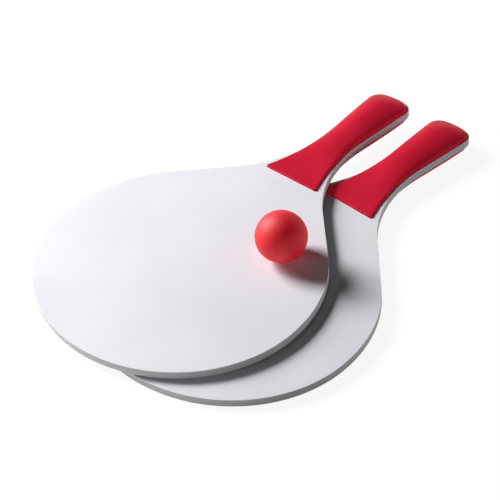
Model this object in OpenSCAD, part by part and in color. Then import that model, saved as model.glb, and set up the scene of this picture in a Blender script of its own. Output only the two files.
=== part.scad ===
// Paddle ball game: two broad beach paddles lying one across the other, with a hollow ball on top.
// Lengths are in millimetres and angles in degrees. The floor is z = 0, and +X runs to the handle ends.
// Each paddle is drawn about the widest point of its blade, at mid thickness.

/* [Blade] */
// Width across the widest point of the blade
blade_w = 238; // [215:1:255]
// Distance from the widest point to the tip
blade_front = 105; // [90:0.5:120]
// Radius of the flanks behind the widest point
flank_r = 107; // [95:1:112]
// Angle at which the flanks run in to the neck
flank_angle = 46; // [40:0.5:52]

/* [Handle] */
// Distance from the widest point to the waist
waist_x = 191; // [185:1:197]
// Width of the board at the waist
waist_w = 31; // [28:0.5:36]
// Angle of each edge behind the waist
taper_angle = 4.1; // [2:0.1:6]
// Distance from the widest point to the handle's end
handle_end = 265; // [258:1:275]
// Radius of the handle's corners
corner_r = 11; // [8:0.5:12]
// Radius of the handle's end
end_r = 48; // [40:1:60]

/* [Layers] */
// Thickness of the core
core_t = 5.8; // [4:0.1:8]
// Thickness of the facing on each side
facing_t = 0.3; // [0.2:0.05:0.8]

/* [Grips] */
// Distance from the widest point to the flared edge of the grip
flare_x = 129; // [126:0.5:134]
// Width of the flared edge
flare_w = 54.5; // [50:0.5:56]
// Radius of the flared edge's corners
flare_r = 2; // [1:0.25:3]
// Width of the grip at the waist
grip_waist_w = 29.2; // [26:0.2:29.6]
// Angle of each grip edge behind the waist
grip_taper_angle = 4.1; // [2:0.1:4.6]
// Margin of board left behind the grip
grip_inset = 2.2; // [1.5:0.1:4]
// Radius of the grip's end corners
grip_corner_r = 11; // [8:0.5:12]
// Radius of the grip's end
grip_end_r = 46; // [40:1:60]
// Height of the upright lip round the grip
lip_h = 2.3; // [2:0.1:4]
// Rise of the crown above the lip
crown_h = 8; // [5:0.25:10]
// Distance from the widest point to the full height of the crown
crown_x = 235; // [215:1:238]
// Length over which the end of the grip rounds down
nose_len = 26; // [18:1:32]
// Wall of the grip shells
grip_wall = 1.6; // [1.2:0.1:1.8]
// Solid length behind the flared edge
flare_web = 8; // [6:0.5:12]

/* [Pegs] */
// Diameter of the pegs that join the two shells of a grip
peg_d = 5; // [4:0.1:6]
// Diameter of the bosses that carry the pegs
boss_d = 8; // [7:0.1:10]
// Diameter of the bosses that take the peg tips
socket_d = 9; // [8:0.1:11]
// Distance from the flared edge to the first peg
first_peg = 50; // [40:0.5:54]
// Distance between the pegs
peg_pitch = 31; // [24:0.5:31]
// How far a peg reaches into its socket
peg_reach = 2.6; // [2:0.1:2.8]
// Depth of the socket bores
socket_depth = 3.2; // [3:0.1:3.4]
// Thickness of the ribs across the shells
rib_t = 1.2; // [0.8:0.1:2]

/* [Ball] */
// Diameter of the ball
ball_d = 40; // [34:0.5:46]
// Wall of the hollow ball
ball_wall = 2.5; // [1.5:0.1:4]
// Place of the ball along the upper paddle
ball_x = 56.8; // [0:0.1:65]
// Place of the ball across the upper paddle
ball_y = -58.9; // [-62:0.1:62]
// Turn of the ball's seam about the upright
seam_turn = -133; // [-180:1:180]
// Lean of the ball's seam
seam_lean = 49; // [0:1:90]

/* [Resting place] */
// Place of the upper paddle along the lower one
upper_x = -13.1; // [-20:0.1:-8]
// Place of the upper paddle across the lower one
upper_y = 41.5; // [41.3:0.1:50]
// Turn of the upper paddle on the lower one
upper_yaw = 3.1; // [3:0.1:4]
// Direction of the rim point on which the upper paddle's blade lies
rest_angle = 138; // [130:0.5:144]

/* [Clearances] */
// Gap between resting pieces
rest_gap = 0.3; // [0.1:0.05:0.6]
// Gap between the edge of a facing and the grip
seat_gap = 0.3; // [0.2:0.05:0.5]
// Gap between a peg and its hole in the core
peg_gap = 0.3; // [0.2:0.05:0.5]
// Radial gap between a peg tip and its socket
socket_gap = 0.05; // [0.03:0.01:0.1]
// Gap between the bosses or ribs and the core
inner_gap = 0.2; // [0.1:0.05:0.5]

/* [Hidden] */
$fn = 96;

white = [0.94, 0.94, 0.95];
core_white = [0.86, 0.85, 0.86];
red = [0.82, 0.08, 0.16];
ball_red = [0.86, 0.10, 0.18];

// Cuts run past the surface by this much
overrun = 1;
// Largest turn between neighbouring points of an outline
arc_step = 2.5;
// Steps round the front of the blade, along a grip shell and round its section
front_steps = 36;
corner_steps = 4;
long_steps = 16;
nose_steps = 12;
arch_steps = 16;
// How close to its very end a grip's surface is drawn
end_cut = 0.03;

board_t = core_t + 2 * facing_t;
half_core = core_t / 2;
half_board = board_t / 2;

// Behind the half ellipse of the blade's front: flank arc, straight run, hollow shoulder and tapered handle
blade_half = blade_w / 2;
waist_half = waist_w / 2;
flank_c = [0, blade_half - flank_r];
flank_out = flank_c + flank_r * [sin(flank_angle), cos(flank_angle)];
shoulder_r = ((waist_x - flank_out.x) * sin(flank_angle) + (waist_half - flank_out.y) * cos(flank_angle))
    / (1 - cos(flank_angle));
shoulder_c = [waist_x, waist_half + shoulder_r];
shoulder_in = shoulder_c - shoulder_r * [sin(flank_angle), cos(flank_angle)];
shoulder_out = shoulder_c + shoulder_r * [sin(taper_angle), -cos(taper_angle)];

// The handle's end: a corner circle inside the tapered edge and the end circle
end_c = [handle_end - end_r, 0];
corner_c = corner_centre(shoulder_out, taper_angle, corner_r, end_c.x, end_r);
corner_angle = atan2(corner_c.y, corner_c.x - end_c.x);
half_outline = concat(
    [for (i = [0:front_steps - 1]) let (t = 90 * i / front_steps) [-blade_front * cos(t), blade_half * sin(t)]],
    arc(flank_c, flank_r, 90, 90 - flank_angle, 0),
    arc(shoulder_c, shoulder_r, 270 - flank_angle, 270 + taper_angle, 0),
    arc(corner_c, corner_r, 90 + taper_angle, corner_angle, 1),
    arc(end_c, end_r, corner_angle, 0, 0));

// The grip's plan, built the same way
flare_half = flare_w / 2;
grip_half_waist = grip_waist_w / 2;
hollow_r = (pow(waist_x - flare_x, 2) + pow(flare_half - grip_half_waist, 2))
    / (2 * (flare_half - grip_half_waist));
hollow_out = [waist_x + hollow_r * sin(grip_taper_angle), grip_half_waist + hollow_r * (1 - cos(grip_taper_angle))];
grip_end = handle_end - grip_inset;
grip_end_c = [grip_end - grip_end_r, 0];
grip_corner_c = corner_centre(hollow_out, grip_taper_angle, grip_corner_r, grip_end_c.x, grip_end_r);
grip_corner_angle = atan2(grip_corner_c.y, grip_corner_c.x - grip_end_c.x);
nose_x = grip_end - nose_len;

peg_x = [for (i = [0:2]) flare_x + first_peg + i * peg_pitch];
rib_x = [peg_x[0] - peg_pitch / 2, peg_x[0] + peg_pitch / 2, peg_x[1] + peg_pitch / 2];

// Tilt of the lower paddle, which lies on the rim of its tip and the crown of its back grip
lower_tilt = max([for (x = grip_stations(0, flare_x)) atan((half_core + grip_top(x) - half_board) / (x + blade_front))]);
lower_z = blade_front * sin(lower_tilt) + half_board * cos(lower_tilt);

// Slope of the upper paddle on the lower one: it lies on a rim point and is held up at the grips
rest_n = -[cos(rest_angle), sin(rest_angle)];
rest_point = -[pow(blade_front, 2) * rest_n.x, pow(blade_half, 2) * rest_n.y]
    / norm([blade_front * rest_n.x, blade_half * rest_n.y]);
upper_at = [upper_x, upper_y];
over_grip = [for (x = grip_stations(0, flare_x)) for (s = [-1:0.1:1])
    let (p = turned([x, s * grip_half(x, 0)], upper_yaw) + upper_at)
    if (p.x < crown_x && abs(p.y) < board_half(p.x)) needed_slope(p, grip_over_face(x, s))];
under_board = [for (x = grip_stations(0, flare_x)) for (s = [-1:0.1:1])
    let (p = [x, s * grip_half(x, 0)], q = turned(p - upper_at, -upper_yaw))
    if (q.x < crown_x && abs(q.y) < board_half(q.x)) needed_slope(p, grip_over_face(x, s))];
upper_slope = max(concat(over_grip, under_board));

// Moves the middle of the whole set over the origin
centre_x = -(upper_x - blade_front + handle_end) / 2;
centre_y = -upper_y / 2;

// Points on an arc round c from direction a to direction b; left_off 1 leaves off the last one
function arc(c, r, a, b, left_off) =
    let (n = ceil(abs(b - a) / arc_step))
    [for (i = [0:n - left_off]) let (t = a + (b - a) * i / n) c + r * [cos(t), sin(t)]];

// Centre of a circle of radius r inside both an edge of slope t through p and a circle of radius big at x
function corner_centre(p, t, r, x, big) =
    let (m = tan(t), c = p.y - p.x * m - r / cos(t), q = 1 + m * m, h = x - m * c)
    let (cx = (h + sqrt(h * h - q * (x * x + c * c - pow(big - r, 2)))) / q)
    [cx, m * cx + c];

function turned(p, a) = [p.x * cos(a) - p.y * sin(a), p.x * sin(a) + p.y * cos(a)];

// Half width of the board between the flank and the handle's end
function board_half(x) =
    x < flank_out.x ? flank_c.y + sqrt(pow(flank_r, 2) - x * x)
    : x < shoulder_in.x ? flank_out.y - (x - flank_out.x) * tan(flank_angle)
    : x < shoulder_out.x ? shoulder_c.y - sqrt(pow(shoulder_r, 2) - pow(x - waist_x, 2))
    : shoulder_out.y + (x - shoulder_out.x) * tan(taper_angle);

// Half width of the grip at x, for an outline drawn in by d
function grip_side(x, d) =
    x < waist_x + (hollow_r + d) * sin(grip_taper_angle)
        ? grip_half_waist + hollow_r - sqrt(pow(hollow_r + d, 2) - pow(x - waist_x, 2))
    : x < grip_corner_c.x - (grip_corner_r - d) * sin(grip_taper_angle)
        ? hollow_out.y - d / cos(grip_taper_angle) + (x - hollow_out.x) * tan(grip_taper_angle)
    : x < grip_end_c.x + (grip_end_r - d) * cos(grip_corner_angle)
        ? grip_corner_c.y + sqrt(pow(grip_corner_r - d, 2) - pow(x - grip_corner_c.x, 2))
    : sqrt(pow(grip_end_r - d, 2) - pow(x - grip_end_c.x, 2));

// The same with the flared edge's rounded corners, for an outline that starts at x = from
function grip_half(x, d, from = flare_x) =
    grip_side(x, d) - (x < from + flare_r ? flare_r - sqrt(pow(flare_r, 2) - pow(flare_r - x + from, 2)) : 0);

// Places along a grip, close together at both ends
function grip_stations(d, from) =
    let (bend = grip_corner_c.x - (grip_corner_r - d) * sin(grip_taper_angle), last = grip_end - d - end_cut)
    let (start = from + flare_r)
    concat(
        [for (i = [0:corner_steps - 1]) from + flare_r * (1 - cos(90 * i / corner_steps))],
        [for (i = [0:long_steps - 1]) start + (bend - start) * i / long_steps],
        [for (i = [0:nose_steps]) bend + (last - bend) * sin(90 * i / nose_steps)]);

// Rise of the crown above the lip along the middle of the grip
function crown_rise(x) =
    let (u = min(1, max(0, (x - flare_x) / (crown_x - flare_x))), v = max(0, (x - nose_x) / nose_len))
    crown_h * u * u * (3 - 2 * u) * (1 - v * v);
function grip_top(x) = lip_h + crown_rise(x);

// Height of a grip over the board's face at x, at a share s of its half width
function grip_over_face(x, s) =
    lip_h - facing_t + crown_rise(x) * sqrt(1 - s * s);
function needed_slope(p, h) = h / ((p - rest_point) * rest_n);

// Section of a grip as points across and up: down to z = low, and lowered by drop
function grip_section(w, rise, low, drop) = concat(
    [[w, low]],
    [for (i = [0:arch_steps]) let (t = 180 * i / arch_steps) [w * cos(t), lip_h - drop + rise * sin(t)]],
    [[-w, low]]);

// Outline of a paddle, with its half mirrored about the centreline
module outline() {
    polygon(concat(
        half_outline,
        [for (i = [len(half_outline) - 2:-1:1]) [half_outline[i].x, -half_outline[i].y]]));
}

// Plan of the grip drawn in by d; a negative d draws it out
module grip_plan(d) {
    xs = grip_stations(d, flare_x + d);
    polygon(concat(
        [for (x = xs) [x, grip_half(x, d, flare_x + d)]],
        [for (i = [len(xs) - 1:-1:0]) [xs[i], -grip_half(xs[i], d, flare_x + d)]]));
}

// Solid under a grip surface drawn in by d, lowered by d, from x = from
module grip_solid(d, from, low) {
    xs = grip_stations(d, from);
    n = arch_steps + 3;
    m = len(xs);
    pts = [for (x = xs) for (p = grip_section(grip_half(x, d, from), crown_rise(x), low, d)) [x, p.x, p.y]];
    polyhedron(pts, concat(
        [[for (j = [0:n - 1]) j]],
        [[for (j = [n - 1:-1:0]) (m - 1) * n + j]],
        [for (i = [0:m - 2]) [i * n, i * n + n - 1, (i + 1) * n + n - 1, (i + 1) * n]],
        [for (i = [0:m - 2]) for (j = [0:n - 2]) [i * n + j, (i + 1) * n + j, (i + 1) * n + j + 1]],
        [for (i = [0:m - 2]) for (j = [0:n - 2]) [i * n + j, (i + 1) * n + j + 1, i * n + j + 1]]));
}

// Hollow grip shell that stands on z = 0, with its ribs and three bosses of diameter d
module grip_shell(d) {
    difference() {
        grip_solid(0, flare_x, 0);
        grip_solid(grip_wall, flare_x + flare_web, -overrun);
    }
    for (x = rib_x) grip_rib(x);
    for (x = peg_x)
        translate([x, 0, inner_gap]) cylinder(h = grip_top(x) - grip_wall / 2 - inner_gap, d = d);
}

// Rib across a shell, with its edge in the middle of the wall
module grip_rib(x) {
    translate([x - rib_t / 2, 0, 0])
        rotate([90, 0, 90])
            linear_extrude(rib_t)
                polygon(grip_section(grip_half(x, 0) - grip_wall / 2, crown_rise(x), inner_gap, grip_wall / 2));
}

module core() {
    difference() {
        linear_extrude(core_t, center = true) outline();
        for (x = peg_x)
            translate([x, 0, 0]) cylinder(h = core_t + 2 * overrun, d = peg_d + 2 * peg_gap, center = true);
    }
}

// Thin facing round the grip's seat, on the front of the core
module facing() {
    translate([0, 0, half_core])
        linear_extrude(facing_t)
            difference() {
                outline();
                grip_plan(-seat_gap);
            }
}

// Front grip shell, whose pegs go through the core into the back shell
module pegged_grip() {
    translate([0, 0, half_core]) {
        grip_shell(boss_d);
        for (x = peg_x)
            translate([x, 0, -core_t - peg_reach]) cylinder(h = core_t + peg_reach + 2 * inner_gap, d = peg_d);
    }
}

// Back grip shell, drawn facing up, whose bosses take the peg tips
module socketed_grip() {
    translate([0, 0, half_core])
        difference() {
            grip_shell(socket_d);
            for (x = peg_x)
                translate([x, 0, -overrun]) cylinder(h = overrun + socket_depth, d = peg_d + 2 * socket_gap);
        }
}

// Half of the hollow ball, above z = 0
module ball_half() {
    rotate_extrude()
        intersection() {
            difference() {
                circle(d = ball_d);
                circle(d = ball_d - 2 * ball_wall);
            }
            square(ball_d);
        }
}

// Turns a front piece over to the back of its paddle
module on_back() {
    mirror([0, 0, 1]) children();
}

module place_lower() {
    translate([centre_x, centre_y, lower_z]) rotate([0, -lower_tilt, 0]) children();
}

module place_upper() {
    lift = half_board + rest_gap + upper_slope * ((upper_at - rest_point) * rest_n);
    place_lower()
        translate([upper_x, upper_y, lift])
            rotate(a = atan(upper_slope), v = [rest_n.y, -rest_n.x, 0])
                rotate([0, 0, upper_yaw])
                    translate([0, 0, half_board])
                        children();
}

module place_ball() {
    place_upper()
        translate([ball_x, ball_y, half_board + rest_gap + ball_d / 2])
            rotate([0, seam_lean, seam_turn])
                children();
}

module lower_core() { color(core_white) place_lower() core(); }
module lower_front_facing() { color(white) place_lower() facing(); }
module lower_back_facing() { color(white) place_lower() on_back() facing(); }
module lower_front_grip() { color(red) place_lower() pegged_grip(); }
module lower_back_grip() { color(red) place_lower() on_back() socketed_grip(); }
module upper_core() { color(core_white) place_upper() core(); }
module upper_front_facing() { color(white) place_upper() facing(); }
module upper_back_facing() { color(white) place_upper() on_back() facing(); }
module upper_front_grip() { color(red) place_upper() pegged_grip(); }
module upper_back_grip() { color(red) place_upper() on_back() socketed_grip(); }
module ball_upper_half() { color(ball_red) place_ball() ball_half(); }
module ball_lower_half() { color(ball_red) place_ball() on_back() ball_half(); }

lower_core();
lower_front_facing();
lower_back_facing();
lower_front_grip();
lower_back_grip();
upper_core();
upper_front_facing();
upper_back_facing();
upper_front_grip();
upper_back_grip();
ball_upper_half();
ball_lower_half();
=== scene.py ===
import math
import bmesh
import bpy
from mathutils import Matrix, Vector


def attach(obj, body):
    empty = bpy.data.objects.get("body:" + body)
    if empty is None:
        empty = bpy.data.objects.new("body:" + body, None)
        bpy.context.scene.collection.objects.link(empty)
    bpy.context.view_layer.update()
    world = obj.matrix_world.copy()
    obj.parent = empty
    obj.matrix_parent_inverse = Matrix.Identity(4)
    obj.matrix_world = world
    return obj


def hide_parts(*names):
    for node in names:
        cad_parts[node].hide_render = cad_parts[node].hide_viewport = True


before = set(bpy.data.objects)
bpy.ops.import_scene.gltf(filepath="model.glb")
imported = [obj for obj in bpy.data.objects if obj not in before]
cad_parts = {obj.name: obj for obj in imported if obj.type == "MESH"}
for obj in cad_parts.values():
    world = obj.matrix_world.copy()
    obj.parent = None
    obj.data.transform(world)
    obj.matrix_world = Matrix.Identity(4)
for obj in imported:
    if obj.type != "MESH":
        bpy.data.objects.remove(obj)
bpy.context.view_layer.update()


# Viewpoint. The camera looks down on the set across the blades, as in the photograph,
# through a long lens. Its right, up and back directions and its place are its four columns.
camera = bpy.data.objects.new("camera", bpy.data.cameras.new("camera"))
camera.data.sensor_width = 36
camera.data.lens = 93.6
camera.matrix_world = Matrix((
    (0.729433, 0.481617, -0.48577, -0.520755),
    (-0.68069, 0.440723, -0.58517, -0.590838),
    (-0.067738, 0.757501, 0.64931, 0.663292),
    (0, 0, 0, 1)))
bpy.context.scene.collection.objects.link(camera)
bpy.context.scene.camera = camera
bpy.context.scene.view_settings.view_transform = "Standard"


# The core boards: flat white boards 5.8 mm thick, cut to the paddle's outline, with bare edges. They carry
# the facings and the grips. Each outline is swept arc by arc round its centres, filled, and extruded to
# its thickness. Pieces are drawn in millimetres, lying flat, and are then laid in their place in metres.
CORE_T = 5.8
BLADE_HALF = 119.0
BLADE_FRONT = 105.0
FLANK_R = 107.0
FLANK = math.radians(46)
WAIST_X = 191.0
WAIST_HALF = 15.5
TAPER = math.radians(4.1)
HANDLE_END = 265.0
CORNER_R = 11.0
END_R = 48.0
ARC_STEP = 1.2
LEAST_STEPS = 2
HALF_JOIN = 0.002
MERGE = 0.0001
FLAT_NORMAL = 0.999999
SHARP_EDGE = math.radians(35)
EDGE_DULL = (0.55, 0.55, 0.56, 1)
EDGE_PALE = (0.66, 0.66, 0.67, 1)

# Where the paddles lie, in millimetres and degrees. The lower one lies on the rim of its tip and the crown
# of its back grip. The upper one lies across it, on a point of its rim, and is held up at the grips.
LOWER_AT = (-73.45, -20.75, 6.31888)
LOWER_TILT = -1.70291
UPPER_AT = (-13.1, 41.5, 4.38692)
UPPER_SLOPE = 0.686853
UPPER_YAW = 3.1
REST_TURN = math.radians(138)
HALF_BOARD = 3.2


def turned(degrees, axis):
    return Matrix.Rotation(math.radians(degrees), 4, axis)


METRES = Matrix.Scale(0.001, 4)
REST_LINE = Vector((-math.sin(REST_TURN), math.cos(REST_TURN), 0))
LOWER = Matrix.Translation(LOWER_AT) @ turned(LOWER_TILT, "Y")
UPPER = (LOWER @ Matrix.Translation(UPPER_AT) @ turned(UPPER_SLOPE, REST_LINE) @ turned(UPPER_YAW, "Z")
         @ Matrix.Translation((0, 0, HALF_BOARD)))
PADDLES = {"lower": METRES @ LOWER, "upper": METRES @ UPPER}


def verts_of(geometry):
    return [g for g in geometry if isinstance(g, bmesh.types.BMVert)]


# Centre of a corner's arc that touches both a tapered edge through a point and the arc of the round end.
def corner_centre(edge_x, edge_y, slope, radius, end_x, end_radius):
    rise = math.tan(slope)
    c = edge_y - edge_x * rise - radius / math.cos(slope)
    q = 1 + rise * rise
    h = end_x - rise * c
    x = (h + math.sqrt(h * h - q * (end_x ** 2 + c * c - (end_radius - radius) ** 2))) / q
    return x, rise * x + c


def sweep(bm, vert, centre, turn):
    steps = max(LEAST_STEPS, round(abs(math.degrees(turn)) / ARC_STEP))
    made = bmesh.ops.spin(bm, geom=[vert], cent=(centre[0], centre[1], 0), axis=(0, 0, 1),
                          angle=turn, steps=steps)
    return verts_of(made["geom_last"])[0]


def run_to(bm, vert, x, y):
    end = bmesh.ops.extrude_vert_indiv(bm, verts=[vert])["verts"][0]
    end.co = (x, y, 0)
    return end


def close_half(bm):
    copy = bmesh.ops.duplicate(bm, geom=bm.verts[:] + bm.edges[:])["geom"]
    bmesh.ops.scale(bm, vec=(1, -1, 1), verts=verts_of(copy))
    bmesh.ops.remove_doubles(bm, verts=bm.verts, dist=HALF_JOIN)


def draw_board(bm):
    shoulder_r = (((WAIST_X - FLANK_R * math.sin(FLANK)) * math.sin(FLANK)
                   + (WAIST_HALF - BLADE_HALF + FLANK_R - FLANK_R * math.cos(FLANK)) * math.cos(FLANK))
                  / (1 - math.cos(FLANK)))
    shoulder = (WAIST_X, WAIST_HALF + shoulder_r)
    edge_x = WAIST_X + shoulder_r * math.sin(TAPER)
    edge_y = shoulder[1] - shoulder_r * math.cos(TAPER)
    corner = corner_centre(edge_x, edge_y, TAPER, CORNER_R, HANDLE_END - END_R, END_R)
    turn_in = math.atan2(corner[1], corner[0] - HANDLE_END + END_R)
    v = bm.verts.new((-BLADE_HALF, 0, 0))
    v = sweep(bm, v, (0, 0), -math.pi / 2)
    bmesh.ops.scale(bm, vec=(BLADE_FRONT / BLADE_HALF, 1, 1), verts=bm.verts)
    v = sweep(bm, v, (0, BLADE_HALF - FLANK_R), -FLANK)
    v = run_to(bm, v, WAIST_X - shoulder_r * math.sin(FLANK), shoulder[1] - shoulder_r * math.cos(FLANK))
    v = sweep(bm, v, shoulder, FLANK + TAPER)
    v = run_to(bm, v, corner[0] - CORNER_R * math.sin(TAPER), corner[1] + CORNER_R * math.cos(TAPER))
    v = sweep(bm, v, corner, turn_in - TAPER - math.pi / 2)
    v = sweep(bm, v, (HANDLE_END - END_R, 0), -turn_in)
    v.co.y = 0
    close_half(bm)


def thicken(bm, low, high):
    bmesh.ops.recalc_face_normals(bm, faces=bm.faces)
    bmesh.ops.translate(bm, vec=(0, 0, low), verts=bm.verts)
    raised = bmesh.ops.extrude_face_region(bm, geom=bm.faces[:], use_keep_orig=True)["geom"]
    bmesh.ops.translate(bm, vec=(0, 0, high - low), verts=verts_of(raised))
    bmesh.ops.recalc_face_normals(bm, faces=bm.faces)


def turn_over(bm):
    bmesh.ops.scale(bm, vec=(1, 1, -1), verts=bm.verts)


def finish_mesh(bm, name, place, body, material, slot, *nodes):
    bmesh.ops.remove_doubles(bm, verts=bm.verts, dist=MERGE)
    bmesh.ops.recalc_face_normals(bm, faces=bm.faces)
    for face in bm.faces:
        face.smooth = abs(face.normal.z) < FLAT_NORMAL
    bmesh.ops.transform(bm, matrix=place, verts=bm.verts)
    for edge in bm.edges:
        edge.smooth = len(edge.link_faces) == 2 and edge.calc_face_angle(0) < SHARP_EDGE
    mesh = bpy.data.meshes.new(name)
    bm.to_mesh(mesh)
    bm.free()
    piece = bpy.data.objects.new(name, mesh)
    piece.data.materials.append(material)
    bpy.context.scene.collection.objects.link(piece)
    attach(piece, body)
    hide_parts(*nodes)


# Shader maths as Python expressions: a wrapped socket adds the Math nodes that an expression needs, and
# node() adds any other node from its type, its settings and its inputs, where i0 is the first input.
class Shade:
    def __init__(self, tree, socket):
        self.tree = tree
        self.socket = socket

    def node(self, kind, out=0, settings=None, **inputs):
        made = self.tree.nodes.new(kind)
        for name, value in (settings or {}).items():
            setattr(made, name, value)
        for name, value in inputs.items():
            key = int(name[1:]) if name[0] == "i" and name[1:].isdigit() else name.replace("_", " ")
            target = made.inputs[key]
            if isinstance(value, Shade):
                self.tree.links.new(value.socket, target)
            else:
                target.default_value = value
        return Shade(self.tree, made.outputs[out])

    def maths(self, operation, a, b):
        return self.node("ShaderNodeMath", settings={"operation": operation}, i0=a, i1=b)

    def __add__(self, other):
        return self.maths("ADD", self, other)

    def __radd__(self, other):
        return self.maths("ADD", other, self)

    def __rsub__(self, other):
        return self.maths("SUBTRACT", other, self)

    def __mul__(self, other):
        return self.maths("MULTIPLY", self, other)

    def __rmul__(self, other):
        return self.maths("MULTIPLY", other, self)

    def clamp(self):
        return self.maths("MINIMUM", self.maths("MAXIMUM", self, 0.0), 1.0)

    def band(self, low, high):
        return self.node("ShaderNodeMapRange", settings={"interpolation_type": "SMOOTHSTEP"},
                         i0=self, i1=low, i2=high, i3=0.0, i4=1.0)

    def noise(self, scale, detail, roughness):
        return self.node("ShaderNodeTexNoise", Scale=scale, Detail=detail, Roughness=roughness, Vector=self)

    def mix(self, factor, a, b):
        return self.node("ShaderNodeMix", out=2, settings={"data_type": "RGBA"}, i0=factor, i6=a, i7=b)

    def bump(self, strength, distance, height):
        return self.node("ShaderNodeBump", Strength=strength, Distance=distance, Height=height)


def new_material(name):
    material = bpy.data.materials.new(name)
    material.use_nodes = True
    tree = material.node_tree
    coords = tree.nodes.new("ShaderNodeTexCoord")
    return material, tree.nodes["Principled BSDF"], Shade(tree, coords.outputs["Object"])


def feed(start, shader, **inputs):
    for name, value in inputs.items():
        start.tree.links.new(value.socket, shader.inputs[name.replace("_", " ")])


# Saw marks run along the bare edge, over a fine grain.
edge_white, shader, at = new_material("edge_white")
along_edge = at.node("ShaderNodeMapping", Vector=at, Scale=(1.0, 1.0, 22.0))
streaks = along_edge.noise(scale=90.0, detail=4.0, roughness=0.6)
grain = at.noise(scale=1400.0, detail=2.0, roughness=0.5)
shader.inputs["Specular IOR Level"].default_value = 0.3
feed(at, shader,
     Base_Color=at.mix((streaks * 0.7 + grain * 0.3).band(0.3, 0.72), EDGE_DULL, EDGE_PALE),
     Roughness=0.5 + 0.2 * grain,
     Normal=at.bump(strength=0.25, distance=0.0002, height=streaks * 0.6 + grain * 0.4))

for paddle, place in PADDLES.items():
    bm = bmesh.new()
    draw_board(bm)
    bmesh.ops.contextual_create(bm, geom=bm.edges[:])
    thicken(bm, -CORE_T / 2, CORE_T / 2)
    finish_mesh(bm, paddle + "_core_board", place, paddle + "_paddle", edge_white, "core_edge",
                paddle + "_core")


# The facings: thin white laminate glued to both sides of each core and trimmed flush with its edge.
# Each is cut out round the grip, and its outer rim is eased by a fine bevel.
FACING_T = 0.3
FACING_BEVEL = 0.1
RIM_ANGLE = 1.0
FLARE_X = 129.0
FLARE_HALF = 27.25
FLARE_R = 2.0
GRIP_WAIST_HALF = 14.6
GRIP_TAPER = math.radians(4.1)
GRIP_END = 262.8
GRIP_CORNER_R = 11.0
GRIP_END_R = 46.0
SEAT_GAP = 0.12
HOLLOW_R = (((WAIST_X - FLARE_X) ** 2 + (FLARE_HALF - GRIP_WAIST_HALF) ** 2)
            / (2 * (FLARE_HALF - GRIP_WAIST_HALF)))
GRIP_CORNER = corner_centre(WAIST_X + HOLLOW_R * math.sin(GRIP_TAPER),
                            GRIP_WAIST_HALF + HOLLOW_R * (1 - math.cos(GRIP_TAPER)),
                            GRIP_TAPER, GRIP_CORNER_R, GRIP_END - GRIP_END_R, GRIP_END_R)
GRIP_TURN_IN = math.atan2(GRIP_CORNER[1], GRIP_CORNER[0] - GRIP_END + GRIP_END_R)
FACE_DULL = (0.735, 0.735, 0.79, 1)
FACE_PALE = (0.785, 0.785, 0.825, 1)


def draw_seat(bm, out):
    hollow = (WAIST_X, GRIP_WAIST_HALF + HOLLOW_R)
    reach = HOLLOW_R - out
    start_x = FLARE_X - out
    start = math.asin((start_x - WAIST_X) / reach)
    v = bm.verts.new((start_x, 0, 0))
    v = run_to(bm, v, start_x, hollow[1] - reach * math.cos(start))
    v = sweep(bm, v, hollow, GRIP_TAPER - start)
    v = run_to(bm, v, GRIP_CORNER[0] - (GRIP_CORNER_R + out) * math.sin(GRIP_TAPER),
               GRIP_CORNER[1] + (GRIP_CORNER_R + out) * math.cos(GRIP_TAPER))
    v = sweep(bm, v, GRIP_CORNER, GRIP_TURN_IN - GRIP_TAPER - math.pi / 2)
    v = sweep(bm, v, (GRIP_END - GRIP_END_R, 0), -GRIP_TURN_IN)
    v.co.y = 0
    close_half(bm)


face_white, shader, at = new_material("face_white")
cloud = at.noise(scale=14.0, detail=3.0, roughness=0.5)
fine = at.noise(scale=900.0, detail=3.0, roughness=0.6)
shader.inputs["Specular IOR Level"].default_value = 0.3
feed(at, shader,
     Base_Color=at.mix((cloud * 0.8 + fine * 0.2).band(0.3, 0.7), FACE_DULL, FACE_PALE),
     Roughness=0.36 + 0.12 * cloud + 0.1 * fine,
     Normal=at.bump(strength=0.12, distance=0.0001, height=fine))

for paddle, place in PADDLES.items():
    for side in ("front", "back"):
        outer = bmesh.new()
        draw_board(outer)
        mesh = bpy.data.meshes.new("outline")
        outer.to_mesh(mesh)
        outer.free()
        bm = bmesh.new()
        draw_seat(bm, SEAT_GAP)
        bm.from_mesh(mesh)
        bpy.data.meshes.remove(mesh)
        bmesh.ops.triangle_fill(bm, edges=bm.edges[:], use_dissolve=False, normal=(0, 0, 1))
        thicken(bm, CORE_T / 2, CORE_T / 2 + FACING_T)
        rim = [e for e in bm.edges if len(e.link_faces) == 2 and e.calc_face_angle(0) > RIM_ANGLE
               and all(v.co.z > CORE_T / 2 + FACING_T / 2 for v in e.verts)]
        bmesh.ops.bevel(bm, geom=rim, offset=FACING_BEVEL, segments=3, profile=0.5,
                        affect="EDGES", material=-1)
        if side == "back":
            turn_over(bm)
        finish_mesh(bm, "{}_{}_laminate".format(paddle, side), place, paddle + "_paddle", face_white,
                    "facing", "{}_{}_facing".format(paddle, side))


# The grips: red moulded shells, one on each side of the handle, that flare out flat on to the blade.
# A grid is laid over the plan, raised to the crown with a rounded rim, and its border drawn down to
# the board, where it is closed.
LIP = 2.3
CROWN = 8.0
CROWN_X = 235.0
CROWN_POWER = 1.75
NOSE_LEN = 26.0
RIM_R = 0.6
ALONG = 150
ACROSS = 64
FLARE_RUN = 3.0
FLARE_SHARE = 0.1
END_RUN_X = 248.0
END_SHARE = 0.6
END_CUT = 0.002
GRIP_DEEP = (0.44, 0.008, 0.025, 1)
GRIP_BRIGHT = (0.52, 0.012, 0.036, 1)


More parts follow.
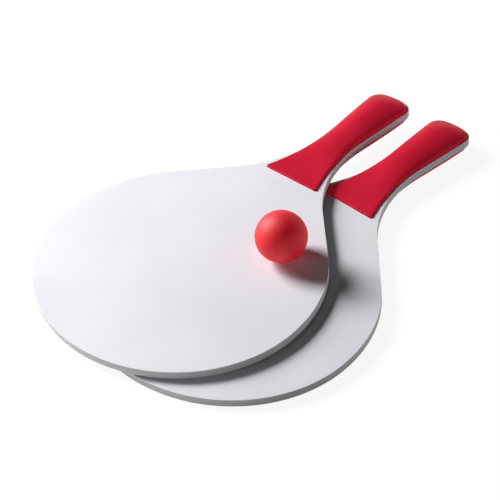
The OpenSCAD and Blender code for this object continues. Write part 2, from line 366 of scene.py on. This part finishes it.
# Place of a row of points along the grip, for a share of the rows: close together at both ends.
def grip_row(share):
    if share < FLARE_SHARE:
        return FLARE_X + FLARE_RUN * (1 - math.cos(share / FLARE_SHARE * math.pi / 2))
    if share < END_SHARE:
        middle = END_RUN_X - FLARE_X - FLARE_RUN
        return FLARE_X + FLARE_RUN + middle * (share - FLARE_SHARE) / (END_SHARE - FLARE_SHARE)
    end_run = GRIP_END - END_CUT - END_RUN_X
    return END_RUN_X + end_run * math.sin((share - END_SHARE) / (1 - END_SHARE) * math.pi / 2)


def grip_half(x):
    if x < WAIST_X + HOLLOW_R * math.sin(GRIP_TAPER):
        half = GRIP_WAIST_HALF + HOLLOW_R - math.sqrt(HOLLOW_R ** 2 - (x - WAIST_X) ** 2)
    elif x < GRIP_CORNER[0] - GRIP_CORNER_R * math.sin(GRIP_TAPER):
        half = (GRIP_CORNER[1] + GRIP_CORNER_R / math.cos(GRIP_TAPER)
                + (x - GRIP_CORNER[0]) * math.tan(GRIP_TAPER))
    elif x < GRIP_END - GRIP_END_R + GRIP_END_R * math.cos(GRIP_TURN_IN):
        half = GRIP_CORNER[1] + math.sqrt(max(0, GRIP_CORNER_R ** 2 - (x - GRIP_CORNER[0]) ** 2))
    else:
        half = math.sqrt(max(0, GRIP_END_R ** 2 - (x - GRIP_END + GRIP_END_R) ** 2))
    if x < FLARE_X + FLARE_R:
        half -= FLARE_R - math.sqrt(FLARE_R ** 2 - (FLARE_R - x + FLARE_X) ** 2)
    return half


# Height over the board: the lip, the crown over it, and the rounded rim, which depends on how far in
# the point lies from the nearest edge.
def grip_height(x, y, half):
    u = min(1.0, (x - FLARE_X) / (CROWN_X - FLARE_X))
    v = max(0.0, (x - GRIP_END + NOSE_LEN) / NOSE_LEN)
    rise = CROWN * u * u * (3 - 2 * u) * (1 - v * v)
    arch = max(0.0, 1 - abs(y / half) ** CROWN_POWER) ** (1 / CROWN_POWER)
    inset = min(x - FLARE_X, half - abs(y))
    if x > GRIP_CORNER[0] and abs(y) > GRIP_CORNER[1]:
        inset = GRIP_CORNER_R - math.hypot(x - GRIP_CORNER[0], abs(y) - GRIP_CORNER[1])
    elif x > GRIP_CORNER[0]:
        inset = min(inset, GRIP_END_R - math.hypot(x - GRIP_END + GRIP_END_R, y))
    inset = min(max(inset, 0.0), RIM_R)
    return LIP + rise * arch - RIM_R + math.sqrt(RIM_R ** 2 - (RIM_R - inset) ** 2)


# Fine pebbled plastic. Its own red is also given out as a weak glow, a painted light that lifts the shaded
# flanks.
grip_red, shader, at = new_material("grip_red")
broad = at.noise(scale=30.0, detail=3.0, roughness=0.5)
pebble = at.noise(scale=1600.0, detail=2.0, roughness=0.6)
red_and_glow = at.mix((broad * 0.7 + pebble * 0.3).band(0.3, 0.7), GRIP_DEEP, GRIP_BRIGHT)
shader.inputs["Specular IOR Level"].default_value = 0.06
# Painted glow: the grip gives out its own red as light, though it is no lamp.
shader.inputs["Emission Strength"].default_value = 0.2
feed(at, shader,
     Base_Color=red_and_glow,
     Emission_Color=red_and_glow,
     Roughness=0.34 + 0.1 * broad + 0.1 * pebble,
     Normal=at.bump(strength=0.35, distance=0.0001, height=pebble))

for paddle, place in PADDLES.items():
    for side in ("front", "back"):
        bm = bmesh.new()
        bmesh.ops.create_grid(bm, x_segments=ALONG, y_segments=ACROSS, size=1)
        for vert in bm.verts:
            x = grip_row((vert.co.x + 1) / 2)
            half = grip_half(x)
            y = half * math.cos((1 - vert.co.y) * math.pi / 2)
            vert.co = (x, y, grip_height(x, y, half))
        border = [e for e in bm.edges if len(e.link_faces) == 1]
        skirt = bmesh.ops.extrude_edge_only(bm, edges=border)["geom"]
        for vert in verts_of(skirt):
            vert.co.z = 0
        bottom = [e for e in bm.edges if len(e.link_faces) == 1]
        bmesh.ops.triangle_fill(bm, edges=bottom, use_dissolve=False, normal=(0, 0, -1))
        bmesh.ops.translate(bm, vec=(0, 0, CORE_T / 2), verts=bm.verts)
        if side == "back":
            turn_over(bm)
        finish_mesh(bm, "{}_{}_shell".format(paddle, side), place, paddle + "_paddle", grip_red, "grip",
                    "{}_{}_grip".format(paddle, side))


# The ball: a small hollow ball of smooth red rubber, moulded in two halves. Each half is a sphere cut at
# the seam and closed, with its cut edge eased so that a hair line shows where the halves meet.
BALL_R = 20.0
BALL_X = 56.8
BALL_Y = -58.9
REST_GAP = 0.3
SEAM_TURN = -133
SEAM_LEAN = 49
SEAM_EASE = 0.12
CUT_REACH = 0.00001
BALL_DEEP = (0.58, 0.002, 0.010, 1)
BALL_BRIGHT = (0.66, 0.004, 0.016, 1)
BALL = (METRES @ UPPER @ Matrix.Translation((BALL_X, BALL_Y, HALF_BOARD + REST_GAP + BALL_R))
        @ turned(SEAM_TURN, "Z") @ turned(SEAM_LEAN, "Y"))

# Smooth rubber with a slight bloom. As on the grips, its own red is also given out as a weak painted glow
# that lifts its shaded side.
ball_red, shader, at = new_material("ball_red")
broad = at.noise(scale=40.0, detail=3.0, roughness=0.5)
bloom = at.noise(scale=1100.0, detail=3.0, roughness=0.6)
red_and_glow = at.mix((broad * 0.7 + bloom * 0.3).band(0.3, 0.7), BALL_DEEP, BALL_BRIGHT)
shader.inputs["Specular IOR Level"].default_value = 0.7
# Painted glow: the ball gives out its own red as light, though it is no lamp.
shader.inputs["Emission Strength"].default_value = 0.2
feed(at, shader,
     Base_Color=red_and_glow,
     Emission_Color=red_and_glow,
     Roughness=0.52 + 0.1 * broad + 0.06 * bloom,
     Normal=at.bump(strength=0.2, distance=0.0001, height=bloom))

for half in ("upper", "lower"):
    bm = bmesh.new()
    bmesh.ops.create_uvsphere(bm, u_segments=128, v_segments=96, radius=BALL_R)
    bmesh.ops.bisect_plane(bm, geom=bm.verts[:] + bm.edges[:] + bm.faces[:], dist=CUT_REACH,
                           plane_co=(0, 0, 0), plane_no=(0, 0, 1), clear_inner=True)
    cut = [e for e in bm.edges if len(e.link_faces) == 1]
    bmesh.ops.contextual_create(bm, geom=cut)
    bmesh.ops.bevel(bm, geom=cut, offset=SEAM_EASE, segments=2, profile=0.5, affect="EDGES", material=-1)
    if half == "lower":
        turn_over(bm)
    finish_mesh(bm, "ball_{}_shell".format(half), BALL, "ball", ball_red, "ball", "ball_{}_half".format(half))


# Floor: a plain pale floor that keeps some of the object's shadow and runs out to white away from it.
# The camera and the gloss see it mostly as a plain glow, and the light that it throws back is grey.
FLOOR_HALF = 12
PAPER_LIT = (0.6, 0.6, 0.6, 1)
PAPER_SEEN = (0.9, 0.9, 0.9, 1)
PAPER_GLOW = 1.08
SHADOW_SHARE = 0.16
FADE_FROM = 0.35
FADE_TO = 1.0
WHITE = (1, 1, 1, 1)

bm = bmesh.new()
bmesh.ops.create_grid(bm, x_segments=1, y_segments=1, size=FLOOR_HALF)
mesh = bpy.data.meshes.new("floor")
bm.to_mesh(mesh)
bm.free()
floor = bpy.data.objects.new("floor", mesh)
bpy.context.scene.collection.objects.link(floor)

paper, shader, at = new_material("floor_paper")
shader.inputs["Roughness"].default_value = 0.9
shader.inputs["Specular IOR Level"].default_value = 0.0
tree = paper.node_tree
rays = tree.nodes.new("ShaderNodeLightPath")
seen = (Shade(tree, rays.outputs["Is Camera Ray"]) + Shade(tree, rays.outputs["Is Glossy Ray"])
        + Shade(tree, rays.outputs["Is Transmission Ray"])).clamp()
feed(at, shader, Base_Color=at.mix(seen, PAPER_LIT, PAPER_SEEN))
glow = tree.nodes.new("ShaderNodeEmission")
glow.inputs["Color"].default_value = WHITE
glow.inputs["Strength"].default_value = PAPER_GLOW
blend = tree.nodes.new("ShaderNodeMixShader")
away = at.node("ShaderNodeVectorMath", out=1, settings={"operation": "LENGTH"}, i0=at)
shadowless = (1 - SHADOW_SHARE) + SHADOW_SHARE * away.band(FADE_FROM, FADE_TO)
tree.links.new((seen * shadowless).socket, blend.inputs[0])
tree.links.new(shader.outputs[0], blend.inputs[1])
tree.links.new(glow.outputs[0], blend.inputs[2])
tree.links.new(blend.outputs[0], tree.nodes["Material Output"].inputs["Surface"])
floor.data.materials.append(paper)


# Surroundings: pale walls, which the camera sees as white at any height and the gloss sees as white low
# down, and which give only a weak even light.
WALL_TOP = 0.3
WALL_FADE = 0.55
EVEN_LIGHT = 0.02

world = bpy.data.worlds.new("surround")
bpy.context.scene.world = world
world.use_nodes = True
tree = world.node_tree
rays = tree.nodes.new("ShaderNodeLightPath")
toward = Shade(tree, tree.nodes.new("ShaderNodeTexCoord").outputs["Generated"])
height = toward.node("ShaderNodeSeparateXYZ", out=2, Vector=toward)
walls = 1 - height.band(WALL_TOP, WALL_FADE)
seen = (Shade(tree, rays.outputs["Is Camera Ray"]) + Shade(tree, rays.outputs["Is Glossy Ray"]) * walls
        + Shade(tree, rays.outputs["Is Transmission Ray"])).clamp()
back = tree.nodes["Background"]
back.inputs["Color"].default_value = WHITE
tree.links.new((seen * (1 - EVEN_LIGHT) + EVEN_LIGHT).socket, back.inputs["Strength"])


# Studio lights: a soft box on the far left of the view with a weaker one under it, which give the soft
# shadows that fall to the right, and two weak fills, low at the near left and the right, for the edges.
LAMPS_AIM = Vector((-0.02, 0.0, 0.02))


def add_lamp(name, turn, height, distance, width, tall, energy):
    turn, height = math.radians(turn), math.radians(height)
    toward = Vector((math.cos(height) * math.cos(turn), math.cos(height) * math.sin(turn), math.sin(height)))
    lamp = bpy.data.objects.new(name, bpy.data.lights.new(name, "AREA"))
    lamp.data.shape = "RECTANGLE"
    lamp.data.size = width
    lamp.data.size_y = tall
    lamp.data.energy = energy
    lamp.location = LAMPS_AIM + distance * toward
    lamp.rotation_euler = toward.to_track_quat("Z", "Y").to_euler()
    bpy.context.scene.collection.objects.link(lamp)
    return lamp


add_lamp("soft_box", turn=104, height=39, distance=1.8, width=0.64, tall=0.58, energy=40.0)
add_lamp("low_box", turn=110, height=22, distance=1.8, width=0.5, tall=0.45, energy=14.0)
left_fill = add_lamp("left_fill", turn=166, height=6, distance=1.3, width=0.9, tall=0.2, energy=5.0)
right_fill = add_lamp("right_fill", turn=-38, height=4, distance=1.4, width=0.8, tall=0.16, energy=4.8)
left_fill.visible_glossy = False
right_fill.visible_glossy = False
